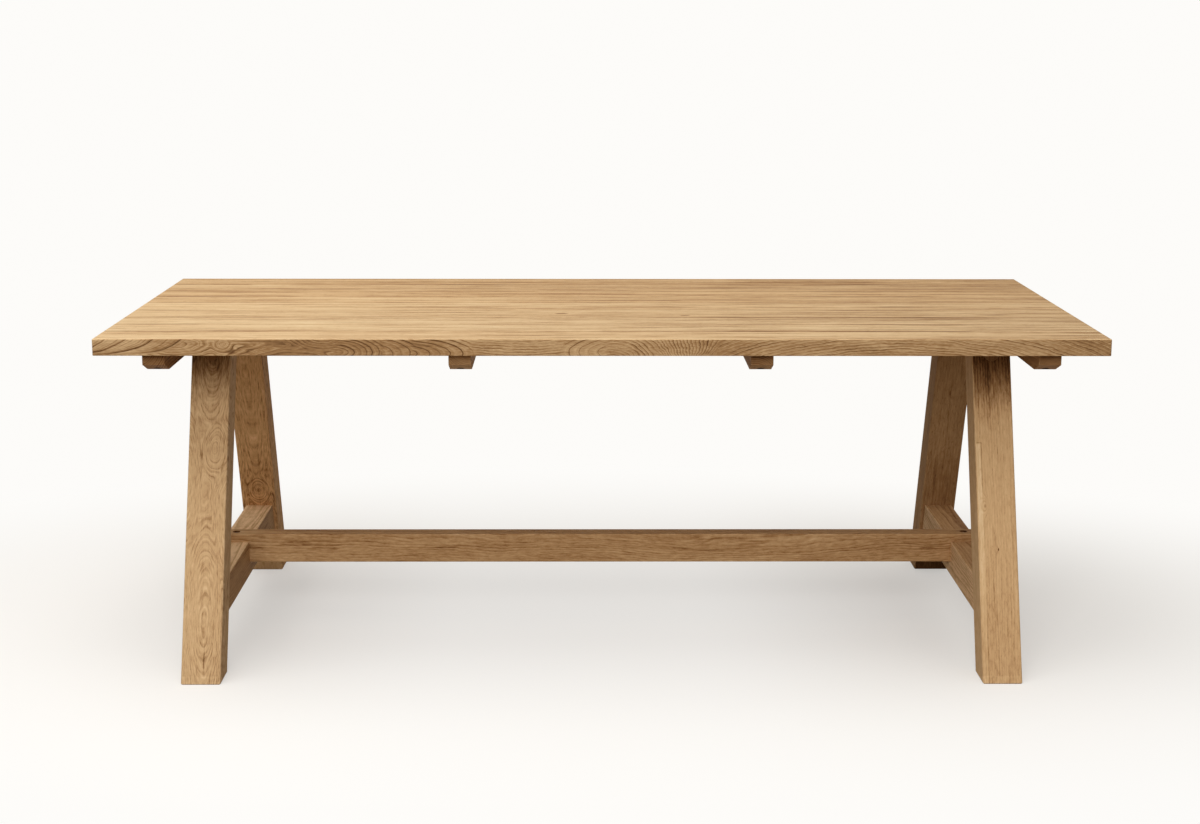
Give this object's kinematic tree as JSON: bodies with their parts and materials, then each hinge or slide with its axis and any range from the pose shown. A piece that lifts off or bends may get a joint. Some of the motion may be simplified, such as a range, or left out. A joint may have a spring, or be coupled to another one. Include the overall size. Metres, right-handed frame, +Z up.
{
  "type": "dining table",
  "caption": "Long wooden dining table with a thick boarded top on cross battens, leaning A-frame legs at each end and a low stretcher that ties the two frames.",
  "frame": {"origin": "on the floor, under the middle of the tabletop", "axes": "+X along the table to the right, +Y from the front long edge to the back one, +Z up"},
  "size_m": [2.2, 1.0286, 0.775],
  "materials": {
    "top_wood": "oiled, satin",
    "batten_wood": "oiled, satin",
    "leg_wood": "oiled, satin",
    "rail_wood": "oiled, satin",
    "plug_wood": "oiled, satin",
    "zinc_steel": "zinc plated"
  },
  "bodies": {
    "root": {"top_board_1": "top_wood", "top_board_2": "top_wood", "top_board_3": "top_wood", "top_board_4": "top_wood", "top_board_5": "top_wood", "top_board_6": "top_wood", "top_board_7": "top_wood", "top_board_8": "top_wood", "top_board_9": "top_wood", "batten_left_end": "batten_wood", "batten_left_middle": "batten_wood", "batten_right_middle": "batten_wood", "batten_right_end": "batten_wood", "leg_front_left": "leg_wood", "leg_front_right": "leg_wood", "leg_back_left": "leg_wood", "leg_back_right": "leg_wood", "cross_stretcher_left": "rail_wood", "cross_stretcher_right": "rail_wood", "top_rail_left": "rail_wood", "top_rail_right": "rail_wood", "long_stretcher": "rail_wood", "leg_plugs": "plug_wood", "batten_screws": "zinc_steel", "top_rail_screws": "zinc_steel", "stretcher_bolts": "zinc_steel", "stretcher_washers": "zinc_steel", "stretcher_nuts": "zinc_steel", "leg_bolts": "zinc_steel", "leg_bolt_washers": "zinc_steel", "barrel_nuts": "zinc_steel"}
  },
  "joints": []
}
